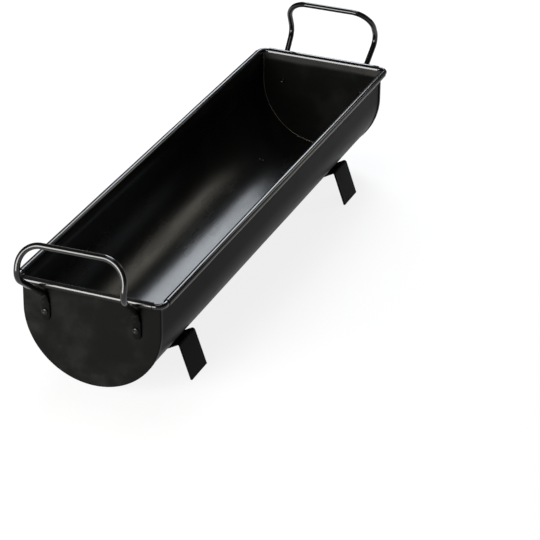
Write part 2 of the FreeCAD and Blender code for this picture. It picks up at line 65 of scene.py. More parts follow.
@dataclass(frozen=True)
class Sizes:
    """The planter's shared sizes."""

    box_length: float = 627.0 * MM
    body_radius: float = 75.2 * MM
    wall_rise: float = 33.5 * MM
    ground_clearance: float = 16.8 * MM
    sheet: float = 0.8 * MM
    wire_radius: float = 3.0 * MM
    wire_gap: float = 0.1 * MM
    side_bead_offset: float = 4.8 * MM
    end_bead_offset: float = 5.6 * MM
    flare_drop: float = 8.0 * MM
    curl_end: float = radians(-130)
    notch_drop: float = 0.4 * MM
    corner_radius: float = 8.0 * MM
    side_setback: float = 12.0 * MM
    end_setback: float = 10.0 * MM
    seam_depth: float = 5.0 * MM
    seam_gap: float = 0.05 * MM
    bracket_spacing: float = 440.0 * MM
    rivet_angle: float = radians(31)
    tab_spacing: float = 100.0 * MM
    tab_rivet_drop: float = 33.0 * MM
    tab_thickness: float = 3.2 * MM
    tab_gap: float = 0.05 * MM
    strip: float = 2.0 * MM
    strip_gap: float = 0.05 * MM

    @property
    def axis(self) -> float:
        """Height of the half-round bottom's axis."""
        return self.ground_clearance + self.body_radius

    @property
    def rim(self) -> float:
        """Height of the middle of the rim wire."""
        return self.axis + self.wall_rise

    @property
    def flare(self) -> float:
        """Height at which the sheet starts to lean out."""
        return self.rim - self.flare_drop

    @property
    def notch(self) -> float:
        """Height of the sheet's top edge at a corner."""
        return self.rim - self.notch_drop

    @property
    def face(self) -> float:
        """Distance from the middle to an end plate's outer face."""
        return self.box_length / 2

    @property
    def side_bead(self) -> float:
        """Distance from the middle to the middle of a side bead."""
        return self.body_radius + self.side_bead_offset

    @property
    def end_bead(self) -> float:
        """Distance from the middle to the middle of an end bead."""
        return self.face + self.end_bead_offset

    @property
    def curl(self) -> float:
        """Radius of the curled sheet's mid-surface."""
        return self.wire_radius + self.wire_gap + self.sheet / 2

    @property
    def side_slope(self) -> float:
        """How far a side wall's top leans out for each metre of height."""
        return tan(self.lean(self.side_bead - self.body_radius + self.sheet / 2))

    @property
    def end_slope(self) -> float:
        """How far an end plate's top leans out for each metre of height."""
        return tan(self.lean(self.end_bead - self.face + self.sheet / 2))

    def lean(self, across: float) -> float:
        """The angle at which a wall leans out to meet its curl.

        Args:
            across: distance from the wall's mid-surface to the middle of the bead.
        """
        drop = self.flare_drop
        return pi / 2 - atan2(drop, across) - asin(self.curl / hypot(drop, across))


# ---- Meshes ----


def make_object(name: str, points: Sequence[Vector], faces: Sequence[Sequence[int]]) -> bpy.types.Object:
    """Make a smooth-shaded mesh object with its normals outward.

    Args:
        name: the object's name.
        points: vertex places.
        faces: vertex numbers of each face.

    Returns:
        The object, linked to the scene.
    """
    mesh = bpy.data.meshes.new(name)
    mesh.from_pydata([tuple(point) for point in points], [], [tuple(face) for face in faces])
    shell = bmesh.new()
    shell.from_mesh(mesh)
    bmesh.ops.delete(shell, geom=[vertex for vertex in shell.verts if not vertex.link_faces], context="VERTS")
    bmesh.ops.recalc_face_normals(shell, faces=shell.faces)
    for face in shell.faces:
        face.smooth = True
    shell.to_mesh(mesh)
    shell.free()
    piece = bpy.data.objects.new(name, mesh)
    bpy.context.scene.collection.objects.link(piece)
    return piece


def thicken(piece: bpy.types.Object, sizes: Sizes) -> None:
    """Give a sheet's mid-surface its thickness, with the second finish inside and the third on its curl.

    Args:
        piece: a single-surface mesh object, whose lowest face has its outer side down.
        sizes: the planter's sizes.
    """
    for face in piece.data.polygons:
        face.material_index = int(face.center.z > sizes.notch)
    if min(piece.data.polygons, key=lambda face: face.center.z).normal.z > 0:
        piece.data.flip_normals()
    solid = piece.modifiers.new("sheet", "SOLIDIFY")
    solid.material_offset = 1
    solid.material_offset_rim = 1
    solid.thickness = sizes.sheet
    solid.offset = 0.0
    solid.use_even_offset = True
    soften_edges(piece, sizes.sheet * 0.28)


def soften_edges(piece: bpy.types.Object, width: float, segments: int = 2) -> None:
    """Round a piece's sharp edges and keep its broad faces flat-shaded where they are flat.

    Args:
        piece: the mesh object.
        width: how far each edge is rounded.
        segments: steps across the rounding.
    """
    bevel = piece.modifiers.new("rounded edges", "BEVEL")
    bevel.width = width
    bevel.segments = segments
    bevel.limit_method = "ANGLE"
    bevel.angle_limit = radians(50)
    bevel.harden_normals = True


def sway(place: Sequence[float], scale: float, seed: float) -> float:
    """Smooth noise from -1 to 1, for hand-worked metal.

    Args:
        place: a point.
        scale: waves per metre.
        seed: moves the pattern.
    """
    return noise.noise(Vector(place) * scale + Vector((seed, seed * 1.7, -seed)))


def ease(value: float, low: float, high: float) -> float:
    """Rise smoothly from 0 at low to 1 at high."""
    share = min(max((value - low) / (high - low), 0.0), 1.0)
    return share * share * (3 - 2 * share)


def stations(ends: Sequence[float], step: float, close: Sequence[float], reach: float) -> list[float]:
    """Places along a line: even steps between the ends, and finer ones around some places.

    Args:
        ends: places that must be on the list, in order.
        step: the even step.
        close: places with finer steps around them.
        reach: how far the finer steps go.

    Returns:
        The sorted places.
    """
    places = set()
    for low, high in zip(ends, ends[1:]):
        count = max(1, round((high - low) / step))
        places |= {round(low + (high - low) * index / count, 7) for index in range(count + 1)}
    for middle in close:
        places |= {round(middle + reach * index / 6, 7) for index in range(-6, 7)}
    ordered = sorted(places)
    kept = [ordered[0]]
    for place in ordered[1:]:
        if place - kept[-1] > step / 12 or place in ends:
            kept.append(place)
    return kept


def curl_path(sizes: Sizes, wall: float, bead: float) -> list[Point]:
    """The mid-line of a wall's top: lean up to the notch, then curl around the rim wire.

    Args:
        sizes: the planter's sizes.
        wall: distance of the wall's mid-surface from the middle.
        bead: distance of the bead's middle.

    Returns:
        Points from the start of the lean to the curl's edge; the last CURL_STEPS + 1 are the curl's.
    """
    radius, lean = sizes.curl, sizes.lean(bead - wall)
    slope = tan(lean)
    heights = (sizes.flare, sizes.flare + 2.4 * MM, sizes.notch)
    path = [(wall + (height - sizes.flare) * slope, height) for height in heights]
    start = pi - lean
    for index in range(CURL_STEPS + 1):
        angle = start + (sizes.curl_end - start) * index / CURL_STEPS
        path.append((bead + radius * cos(angle), sizes.rim + radius * sin(angle)))
    return path


def both_sides(half: Sequence[Point]) -> list[Point]:
    """A line that runs outward from the middle, with its mirror image before it."""
    return [(-across, height) for across, height in reversed(half[1:])] + list(half)


def circle(middle: Vector, first: Vector, second: Vector, radius: float, sides: int) -> list[Vector]:
    """Points around a middle, from the first of two directions towards the second."""
    turns = [2 * pi * side / sides for side in range(sides)]
    return [middle + (first * cos(turn) + second * sin(turn)) * radius for turn in turns]


def strip_faces(low: Sequence[int], high: Sequence[int]) -> list[Face]:
    """The faces between two rows of vertices."""
    return [(low[index], low[index + 1], high[index + 1], high[index]) for index in range(len(low) - 1)]


def tube_faces(rings: int, sides: int, closed: bool = False) -> list[Face]:
    """The faces between neighbouring rings of a tube.

    Args:
        rings: how many rings there are.
        sides: points in each ring.
        closed: whether the last ring joins the first; if not, both ends get a cap.

    Returns:
        Vertex numbers of each face.
    """
    faces: list[Face] = []
    for ring in range(rings if closed else rings - 1):
        low, high = ring * sides, (ring + 1) % rings * sides
        faces += strip_faces([*range(low, low + sides), low], [*range(high, high + sides), high])
    if not closed:
        faces += [tuple(range(sides)), tuple(range((rings - 1) * sides, rings * sides))]
    return faces


def lathe(name: str, outline: Sequence[Point]) -> bpy.types.Object:
    """Turn an outline about the Z axis into a closed piece.

    Args:
        name: the object's name.
        outline: (radius, height) from the axis to the axis.

    Returns:
        The object, standing at the origin.
    """
    points: list[Vector] = []
    rings = []
    for radius, height in outline:
        start, count = len(points), 1 if radius < 1e-9 else LATHE_STEPS
        rings.append([start + index % count for index in range(LATHE_STEPS + 1)])
        for index in range(count):
            angle = 2 * pi * index / LATHE_STEPS
            points.append(Vector((radius * cos(angle), radius * sin(angle), height)))
    faces = [tuple(dict.fromkeys(face)) for pair in zip(rings, rings[1:]) for face in strip_faces(*pair)]
    return make_object(name, points, faces)


# ---- Shader graphs ----


class Signal:
    """A shader socket that takes part in arithmetic: each operation adds one Math node."""

    def __init__(self, graph: "Graph", socket: bpy.types.NodeSocket) -> None:
        """Wrap a node's output socket."""
        self.graph = graph
        self.socket = socket

    def _math(self, operation: str, first: "Value", second: "Value") -> "Signal":
        """Add a Math node."""
        return self.graph.add("ShaderNodeMath", {"operation": operation}, {0: first, 1: second})

    def __add__(self, other: "Value") -> "Signal":
        """self + other"""
        return self._math("ADD", self, other)

    __radd__ = __add__

    def __mul__(self, other: "Value") -> "Signal":
        """self * other"""
        return self._math("MULTIPLY", self, other)

    __rmul__ = __mul__

    def __sub__(self, other: "Value") -> "Signal":
        """self - other"""
        return self._math("SUBTRACT", self, other)

    def __rsub__(self, other: "Value") -> "Signal":
        """other - self"""
        return self._math("SUBTRACT", other, self)

    def between(self, low: float, high: float) -> "Signal":
        """Rise smoothly from 0 at low to 1 at high."""
        inputs = {"Value": self, "From Min": low, "From Max": high}
        return self.graph.add("ShaderNodeMapRange", {"interpolation_type": "SMOOTHSTEP"}, inputs)


Value = Union[float, Sequence[float], Signal]


class Graph:
    """The node tree of one material or world."""

    def __init__(self, owner: Union[bpy.types.Material, bpy.types.World]) -> None:
        """Start with an empty tree."""
        owner.use_nodes = True
        self.tree = owner.node_tree
        self.tree.nodes.clear()

    def add(
        self,
        kind: str,
        settings: Optional[dict[str, object]] = None,
        inputs: Optional[dict[Union[int, str], Value]] = None,
        output: Union[int, str] = 0,
    ) -> Optional[Signal]:
        """Add a node, set its options first and then its sockets.

        Args:
            kind: the node's type.
            settings: options, such as a Math node's operation.
            inputs: values or signals by socket name or number.
            output: the output that is returned.

        Returns:
            One output of the node, or None if it has no output.
        """
        node = self.tree.nodes.new(kind)
        for key, value in (settings or {}).items():
            setattr(node, key, value)
        for key, value in (inputs or {}).items():
            if isinstance(value, Signal):
                self.tree.links.new(value.socket, node.inputs[key])
            else:
                node.inputs[key].default_value = value
        return Signal(self, node.outputs[output]) if len(node.outputs) else None

    def noise(self, place: Signal, scale: float, detail: float = 2.0, roughness: float = 0.5) -> Signal:
        """A noise texture's value, about 0 to 1."""
        inputs = {"Vector": place, "Scale": scale, "Detail": detail, "Roughness": roughness}
        return self.add("ShaderNodeTexNoise", {"normalize": True}, inputs, "Fac")

    def stretched(self, place: Signal, scale: Sequence[float]) -> Signal:
        """Coordinates scaled differently along each axis."""
        return self.add("ShaderNodeMapping", {"vector_type": "POINT"}, {"Vector": place, "Scale": scale})

    def tint(self, factor: Value, low: Sequence[float], high: Sequence[float]) -> Signal:
        """A colour between two."""
        inputs = {0: factor, 6: (*low, 1.0), 7: (*high, 1.0)}
        return self.add("ShaderNodeMix", {"data_type": "RGBA", "clamp_factor": True}, inputs, 2)


class Gloss(Enum):
    """How shiny a black coating is, as its roughness."""

    SHINY = 0.11
    SLEEK = 0.255
    SEMI = 0.35
    SATIN = 0.46


@dataclass(frozen=True)
class Coating:
    """A black coating on steel, with its orange peel, mottle, wipe marks and dust."""

    name: str
    gloss: Gloss
    colour: tuple[float, float, float] = (0.0045, 0.0045, 0.0042)
    haze: tuple[float, float, float] = (0.015, 0.015, 0.014)
    specular: float = 0.25
    peel_scale: float = 900.0
    peel_height: float = 0.010 * MM
    grain_scale: float = 240.0
    grain_height: float = 0.020 * MM
    mottle_scale: float = 26.0
    mottle: float = 0.07
    marks: float = 0.08
    mark_stretch: tuple[float, float, float] = (7.0, 30.0, 30.0)
    dust: float = 0.5
    speck_scale: float = 420.0
    patch_scale: float = 60.0
    coat: float = 0.0
    coat_from: float = 0.0
    coat_rise: float = 2.0 * MM
    coat_roughness: float = 0.09

    def material(self) -> bpy.types.Material:
        """Make the material.

        Returns:
            A node material whose colour, roughness and bump vary over the surface.
        """
        made = bpy.data.materials.new(self.name)
        graph = Graph(made)
        place = graph.add("ShaderNodeTexCoord", output="Object")
        mottle = graph.noise(place, self.mottle_scale, 4.0, 0.55)
        grain = graph.noise(place, self.grain_scale, 3.0)
        peel = graph.noise(place, self.peel_scale, 1.0)
        marks = graph.noise(graph.stretched(place, self.mark_stretch), 1.0, 5.0, 0.6).between(0.52, 0.78)
        spread = {"Vector": place, "Scale": self.speck_scale}
        specks = graph.add("ShaderNodeTexVoronoi", {"feature": "F1"}, spread, "Distance")
        patches = graph.noise(place, self.patch_scale, 2.0).between(0.55, 0.75)
        dust = (1.0 - specks.between(0.05, 0.17)) * patches * self.dust
        roughness = (mottle - 0.5) * self.mottle + marks * self.marks + dust * 0.15 + self.gloss.value
        haze = marks * 0.35 + mottle.between(0.45, 0.75) * 0.25 + dust * 0.8
        height = peel * self.peel_height + grain * self.grain_height
        bump = graph.add("ShaderNodeBump", inputs={"Strength": 1.0, "Distance": 1.0, "Height": height})
        coat: Value = 0.0
        if self.coat:
            height_up = graph.add("ShaderNodeSeparateXYZ", inputs={0: place}, output="Z")
            coat = height_up.between(self.coat_from, self.coat_from + self.coat_rise) * self.coat
        shader = graph.add("ShaderNodeBsdfPrincipled", inputs={
            "Base Color": graph.tint(haze, self.colour, self.haze),
            "Roughness": roughness,
            "Specular IOR Level": self.specular,
            "Coat Weight": coat,
            "Coat Roughness": self.coat_roughness,
            "Normal": bump,
        })
        graph.add("ShaderNodeOutputMaterial", inputs={"Surface": shader})
        return made


SHEET_COAT = Coating(
    "coated sheet outside", Gloss.SEMI, colour=(0.0085, 0.0085, 0.0080), haze=(0.020, 0.020, 0.019),
    specular=0.012, dust=0.25,
)
INSIDE_COAT = Coating("coated sheet inside", Gloss.SLEEK, specular=0.13, dust=0.15)
SIDE_BEAD_COAT = Coating(
    "coated side bead", Gloss.SEMI, specular=0.03, dust=0.15, grain_height=0.006 * MM, peel_height=0.005 * MM,
    coat=0.36, coat_from=124.0 * MM,
)
END_BEAD_COAT = replace(
    SIDE_BEAD_COAT, name="coated end bead", coat=0.85, coat_from=124.5 * MM, coat_rise=1.5 * MM
)
PLATE_COAT = Coating(
    "coated end plate outside", Gloss.SEMI, haze=(0.026, 0.026, 0.024), specular=0.033,
    mottle=0.20, marks=0.14, mark_stretch=(30.0, 16.0, 22.0),
)
PLATE_INSIDE_COAT = replace(
    PLATE_COAT, name="coated end plate inside", haze=(0.020, 0.020, 0.018), specular=0.06,
    mottle=0.16, marks=0.12,
)
# Light brown colour: a painted highlight along the bead in the inside corner between the trough and an end
# plate.
SEAM_PAINTED_HIGHLIGHT = Coating(
    "painted-highlight seam bead", Gloss.SHINY, colour=(0.11, 0.09, 0.06), haze=(0.16, 0.13, 0.09), specular=0.4
)
ROD_COAT = Coating(
    "coated rod", Gloss.SLEEK, colour=(0.0030, 0.0030, 0.0029), haze=(0.007, 0.007, 0.007), specular=0.04,
    mottle=0.03, marks=0.03, grain_height=0.004 * MM, peel_height=0.004 * MM, dust=0.3,
    coat=0.70, coat_from=110.0 * MM, coat_rise=8.0 * MM,
)
STRIP_COAT = Coating(
    "coated strip", Gloss.SATIN, colour=(0.006, 0.006, 0.0057), haze=(0.016, 0.016, 0.015), specular=0.03,
    mark_stretch=(40.0, 9.0, 9.0),
)
RIVET_COAT = Coating("coated rivet", Gloss.SHINY, specular=0.15, peel_scale=1600.0, marks=0.12)


def dress(piece: bpy.types.Object, coatings: Sequence[Coating], slot: str, *nodes: str) -> bpy.types.Object:
    """Coat a piece, hang it on its body and let it stand for its solids, if it has any.

    Args:
        piece: the mesh object, in place.
        coatings: its finish, or those of a sheet's outer side, inner side and bead.
        slot: a material slot's name; not used.
        nodes: the solids that it stands for.

    Returns:
        The same object.
    """
    for coating in coatings:
        piece.data.materials.append(bpy.data.materials.get(coating.name) or coating.material())
    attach(piece, BODY)
    if nodes:
        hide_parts(*nodes)
    log.info("%s: %d faces before its modifiers", piece.name, len(piece.data.polygons))
    return piece


# ---- Sub-assemblies ----


@dataclass
class Trough:
    """The bent sheet: half-round bottom, straight walls and a curl along each long side.

    Each "calm" pair is where waviness starts and where it is full, as distances from an end or a bracket.
    """

    sizes: Sizes
    wobble: float = 0.20 * MM
    wobble_waves: float = 9.0
    bead_wobble: float = 0.16 * MM
    bead_waves: float = 21.0
    end_calm: Span = (12.0 * MM, 60.0 * MM)
    bead_calm: Span = (6.0 * MM, 20.0 * MM)
    bracket_calm: Span = (22.0 * MM, 50.0 * MM)
    bottom: Span = (30.0 * MM, 60.0 * MM)
    dimple: float = 0.18 * MM
    dimple_ring: float = 6.0 * MM
    dimple_spread: float = 2.6 * MM
    round_steps: int = 56

    def section(self) -> list[Point]:
        """The sheet's mid-line across the trough.

        Returns:
            Points from the -Y curl's edge to the +Y curl's edge.
        """
        sizes = self.sizes
        radius = sizes.body_radius - sizes.sheet / 2
        half = []
        for index in range(self.round_steps + 1):
            angle = pi / 2 * index / self.round_steps
            half.append((radius * sin(angle), sizes.axis - radius * cos(angle)))
        for share in (0.2, 0.4, 0.6, 0.8):
            half.append((radius, sizes.axis + (sizes.flare - sizes.axis) * share))
        return both_sides(half + curl_path(sizes, radius, sizes.side_bead))

    def shift(self, along: float, across: float, height: float) -> float:
        """How far the hand-worked sheet stands off its true shape, positive outward.

        Args:
            along: place along the trough.
            across: place across it.
            height: height above the ground.
        """
        sizes = self.sizes
        to_end, to_rivet = sizes.face - abs(along), abs(along) - sizes.bracket_spacing / 2
        low = 1.0 - ease(height, *self.bottom)
        calm = ease(to_end, *self.end_calm) * (1.0 - low * (1.0 - ease(abs(to_rivet), *self.bracket_calm)))
        off = self.wobble * sway((along, across, height), self.wobble_waves, 2.3) * calm
        if height > sizes.flare:
            wave = sway((along, 4.0 * across, 0.0), self.bead_waves, 5.1)
            off += self.bead_wobble * wave * ease(to_end, *self.bead_calm)
        angle = atan2(abs(across), sizes.axis - height)
        ring = hypot(to_rivet, sizes.body_radius * (angle - sizes.rivet_angle)) - self.dimple_ring
        return off - self.dimple * exp(-((ring / self.dimple_spread) ** 2))

    def build(self) -> bpy.types.Object:
        """Make the trough's mesh and dress it."""
        sizes = self.sizes
        section = self.section()
        bead_end = sizes.end_bead - sizes.side_setback
        inside, widest = sizes.face - sizes.sheet, sizes.side_bead + sizes.curl
        places = stations(
            (-inside, -bead_end, 0.0, bead_end, inside), 8 * MM,
            (-sizes.bracket_spacing / 2, sizes.bracket_spacing / 2), 12 * MM,
        )
        count = len(section)
        normals = []
        for index in range(count):
            before, after = section[max(index - 1, 0)], section[min(index + 1, count - 1)]
            run = Vector((after[0] - before[0], after[1] - before[1])).normalized()
            normals.append((run.y, -run.x))
        points, faces = [], []
        for along in places:
            corner = max(0.0, (abs(along) - bead_end) / (inside - bead_end))
            for (across, height), (side, up) in zip(section, normals):
                off = self.shift(along, across, height)
                out = copysign(corner * sizes.end_slope * max(height - sizes.flare, 0.0), along)
                sideways = min(max(across + side * off, -widest), widest)
                points.append(Vector((along + out, sideways, height + up * off)))
        for step, (low, high) in enumerate(zip(places, places[1:])):
            cut = CURL_STEPS + 1 if abs(low + high) / 2 > bead_end else 0
            for corner in range(step * count + cut, (step + 1) * count - 1 - cut):
                faces.append((corner, corner + 1, corner + count + 1, corner + count))
        piece = make_object("trough", points, faces)
        thicken(piece, sizes)
        return dress(piece, (SHEET_COAT, INSIDE_COAT, SIDE_BEAD_COAT), "coated_sheet", "trough_body")


@dataclass
class EndPlate:
    """A D-shaped plate: panel, edge folded over the trough's end, and a curl along its top."""

    sizes: Sizes
    end: str
    turn: float
    seed: float
    fold: float = 1.2 * MM
    warp: float = 0.42 * MM
    warp_waves: float = 17.0
    beaten: float = 0.30 * MM
    beaten_waves: float = 42.0
    edge_calm: Span = (2.0 * MM, 22.0 * MM)
    beaten_part: Span = (90.0 * MM, 112.0 * MM)
    rim_wobble: float = 0.14 * MM
    rim_waves: float = 34.0
    dimple: float = 0.45 * MM
    dimple_spread: float = 7.5 * MM
    columns: int = 68
    rows: int = 46

    def bulge(self, across: float, height: float) -> float:
        """How far the panel stands off its plane, positive outward."""
        sizes = self.sizes
        edge = min(sizes.flare - height, sizes.body_radius - hypot(across, min(height - sizes.axis, 0.0)))
        warp = sway((self.seed, across, height), self.warp_waves, self.seed)
        beaten = sway((across, height, self.seed), self.beaten_waves, self.seed)
        off = self.warp * warp * ease(edge, *self.edge_calm)
        off += self.beaten * beaten * ease(height, *self.beaten_part)
        ring = hypot(abs(across) - sizes.tab_spacing / 2, height - sizes.rim + sizes.tab_rivet_drop)
        return off - self.dimple * exp(-((ring / self.dimple_spread) ** 2))

    def places(self, radius: float) -> list[float]:
        """The columns' places across the plate, with one at each end of the curl."""
        curl_end = self.sizes.side_bead - self.sizes.end_setback
        turns = [pi * (index / self.columns - 0.5) for index in range(self.columns + 1)]
        across = [radius * sin(turn) for turn in turns]
        for end in (-curl_end, curl_end):
            nearest = min(range(len(across)), key=lambda index: abs(across[index] - end))
            across[nearest] = end
        return across

    def build(self) -> bpy.types.Object:
        """Make the plate's mesh and dress it."""
        sizes = self.sizes
        mid = sizes.face - sizes.sheet / 2
        radius = sizes.body_radius + sizes.seam_gap + sizes.sheet / 2 - self.fold
        across = self.places(radius)
        width, curl_end = len(across), sizes.side_bead - sizes.end_setback
        grid = []
        for step in range(self.rows + 1):
            row = []
            for place in across:
                bottom = sizes.axis - sqrt(max(radius * radius - place * place, 0.0))
                height = bottom + (sizes.flare - bottom) * step / self.rows
                row.append(Vector((mid + self.bulge(place, height), place, height)))
            grid.append(row)
        grid += self._curl_rows(across, mid)
        points = [point for row in grid for point in row]
        faces: list[Face] = []
        notch = len(grid) - CURL_STEPS - 1
        middles = [(before + after) / 2 for before, after in zip(across, across[1:])]
        for step in range(1, len(grid)):
            start = step * width
            strip = strip_faces(range(start - width, start), range(start, start + width))
            faces += [face for face, middle in zip(strip, middles) if step < notch or abs(middle) < curl_end]
        sides = [step * width for step in range(1, notch)]
        border = sides[::-1] + list(range(width)) + [side + width - 1 for side in sides]
        for row in self._lip_rows([points[index] for index in border]):
            fresh = list(range(len(points), len(points) + len(row)))
            faces += strip_faces(border, fresh)
            points += row
            border = fresh
        piece = make_object(f"{self.end}_plate", points, faces)
        thicken(piece, sizes)
        piece.data.transform(Matrix.Rotation(self.turn, 4, "Z"))
        finishes = (PLATE_COAT, PLATE_INSIDE_COAT, END_BEAD_COAT)
        return dress(piece, finishes, "coated_sheet", f"{self.end}_end_plate")

    def _curl_rows(self, across: Sequence[float], mid: float) -> list[list[Vector]]:
        """The rows of vertices above the panel: the lean and then the curl.

        Args:
            across: the columns' places.
            mid: distance of the panel's mid-surface from the planter's middle.

        Returns:
            Each row's vertices, from -Y to +Y.
        """
        sizes, edge = self.sizes, across[-1]
        curl_end = sizes.side_bead - sizes.end_setback
        rows = []
        for out, height in curl_path(sizes, mid, sizes.end_bead)[1:]:
            row = []
            for place in across:
                wave = sway((0.0, place, 0.0), self.rim_waves, self.seed + 3)
                off = self.rim_wobble * wave * ease(height, sizes.flare, sizes.rim)
                beyond = max(0.0, (abs(place) - curl_end) / (edge - curl_end))
                side = copysign(beyond * sizes.side_slope * (height - sizes.flare), place)
                row.append(Vector((out + off * (1 - beyond), place + side, height)))
            rows.append(row)
        return rows

    def _lip_rows(self, border: Sequence[Vector]) -> list[list[Vector]]:
        """The rows of vertices of the edge that is folded back over the trough's end.

        Args:
            border: the places around the panel, from one top corner to the other.

        Returns:
            Each row's vertices, in the border's order.
        """
        sizes, fold = self.sizes, self.fold
        outward = [Vector((0.0, place.y, min(place.z - sizes.axis, 0.0))).normalized() for place in border]
        turns = [radians(turn) for turn in (18, 36, 54, 72, 90)]
        steps = [(fold * sin(turn), fold * (1 - cos(turn))) for turn in turns]
        flat = sizes.seam_depth - fold - sizes.sheet / 2
        steps += [(fold, fold + flat * share) for share in (0.5, 1.0)]
        return [
            [place + way * out - ALONG * back for place, way in zip(border, outward)] for out, back in steps
        ]


@dataclass
class PaintedHighlightSeamBead:
    """A bead of pooled coating along the inside corner between the trough and an end plate; its light brown
    colour is a painted highlight.
    """

    sizes: Sizes
    end: str
    turn: float
    radius: float = 0.48 * MM
    lump_waves: float = 55.0
    sides: int = 8
    steps: int = 120

    def route(self) -> list[Vector]:
        """The inside corner, from one top to the other."""
        sizes = self.sizes
        inner, inside = sizes.body_radius - sizes.sheet, sizes.face - sizes.sheet
        top = sizes.notch - 1.5 * MM
        half = []
        for index in range(self.steps + 1):
            angle = pi / 2 * index / self.steps
            half.append(Vector((inside, inner * sin(angle), sizes.axis - inner * cos(angle))))
        half.append(Vector((inside, inner, sizes.flare)))
        lean = top - sizes.flare
        half.append(Vector((inside + lean * sizes.end_slope, inner + lean * sizes.side_slope, top)))
        return [Vector((point.x, -point.y, point.z)) for point in reversed(half[1:])] + half

    def build(self) -> bpy.types.Object:
        """Make the pooled coating's mesh and dress it."""
        route = self.route()
        points: list[Vector] = []
        for index, middle in enumerate(route):
            run = (route[min(index + 1, len(route) - 1)] - route[max(index - 1, 0)]).normalized()
            thick = self.radius * (0.8 + 0.35 * sway(middle, self.lump_waves, 8.0))
            points += circle(middle, ALONG.cross(run).normalized(), ALONG, thick, self.sides)
        piece = make_object(f"{self.end}_painted_highlight_seam", points, tube_faces(len(route), self.sides))
        piece.data.transform(Matrix.Rotation(self.turn, 4, "Z"))
        # The bead is dressed in the light brown painted highlight.
        return dress(piece, (SEAM_PAINTED_HIGHLIGHT,), "coated_sheet")


@dataclass
class RimWire:
    """The closed wire inside the rim's curls, bare at its four corners."""

    sizes: Sizes
    sides: int = 28
    corner_steps: int = 12

    def route(self) -> list[Vector]:
        """The wire's middle line, without its last point, which is the first."""
        sizes = self.sizes
        long_end, wide_end = sizes.end_bead - sizes.corner_radius, sizes.side_bead - sizes.corner_radius
        route = []
        for quarter, (side, way) in enumerate(((1, 1), (-1, 1), (-1, -1), (1, -1))):
            for step in range(self.corner_steps + 1):
                angle = pi / 2 * (quarter + step / self.corner_steps)
                route.append(Vector((
                    side * long_end + sizes.corner_radius * cos(angle),
                    way * wide_end + sizes.corner_radius * sin(angle),
                    sizes.rim,
                )))
        return route

    def build(self) -> bpy.types.Object:
        """Make the wire's mesh and dress it."""
        route = self.route()
        points: list[Vector] = []
        for index, middle in enumerate(route):
            run = (route[(index + 1) % len(route)] - route[index - 1]).normalized()
            points += circle(middle, run.cross(UP), UP, self.sizes.wire_radius, self.sides)
        piece = make_object("rim_wire_bare", points, tube_faces(len(route), self.sides, closed=True))
        return dress(piece, (ROD_COAT,), "coated_rod", "rim_wire")


@dataclass
class Bracket:
    """A strip that cradles the bottom and is bent down at both sides into two splayed legs."""

    sizes: Sizes
    end: str
    place: float
    width: float = 38.0 * MM
    rise: float = radians(30)
    splay: float = radians(19.5)
    corner: float = 61.7 * MM
    bend: float = 1.0 * MM
    cradle_steps: int = 16
    bend_steps: int = 8
    width_steps: int = 6

    def half(self, depth: float) -> list[Point]:
        """Half of one of the strip's faces, from the middle to the ground.

        Args:
            depth: distance below the face that touches the trough.

        Returns:
            (across, height) points.
        """
        sizes, rise, splay = self.sizes, self.rise, self.splay
        inner = sizes.body_radius + sizes.strip_gap
        outer_bend = self.bend + sizes.strip
        run = (self.corner - inner * sin(rise)) / cos(rise)
        top = sizes.axis - inner * cos(rise) + run * sin(rise)
        spread = outer_bend / (1 - sin(rise - splay))
        bend_y = self.corner + spread * (sin(rise) - cos(splay))
        bend_z = top - spread * (cos(rise) + sin(splay))
        cradle, radius = inner + depth, outer_bend - depth
        points = []
        for index in range(self.cradle_steps + 1):
            angle = rise * index / self.cradle_steps
            points.append((cradle * sin(angle), sizes.axis - cradle * cos(angle)))
        for index in range(self.bend_steps + 1):
            angle = pi / 2 + rise + (splay - pi / 2 - rise) * index / self.bend_steps
            points.append((bend_y + radius * cos(angle), bend_z + radius * sin(angle)))
        end_y, end_z = points[-1]
        for share in (0.5, 1.0):
            points.append((end_y + end_z * share * tan(splay), end_z * (1 - share)))
        return points

    def build(self) -> bpy.types.Object:
        """Make the bracket's mesh and dress it."""
        upper, lower = both_sides(self.half(0.0)), both_sides(self.half(self.sizes.strip))
        count = len(upper)
        steps = self.width_steps
        places = [self.place + self.width * (index / steps - 0.5) for index in range(steps + 1)]
        points = [Vector((along, *point)) for along in places for face in (upper, lower) for point in face]
        faces = []
        for step in range(steps):
            here, there = step * 2 * count, (step + 1) * 2 * count
            for index in range(count - 1):
                for side in (0, count):
                    low, high = here + side + index, there + side + index
                    faces.append((low, low + 1, high + 1, high))
            for index in (0, count - 1):
                faces.append((here + index, here + count + index, there + count + index, there + index))
        for start in (0, steps * 2 * count):
            faces += strip_faces(range(start, start + count), range(start + count, start + 2 * count))
        piece = make_object(f"{self.end}_strip_bracket", points, faces)
        soften_edges(piece, 0.45 * MM, 3)
        return dress(piece, (STRIP_COAT,), "coated_strip", f"{self.end}_bracket")


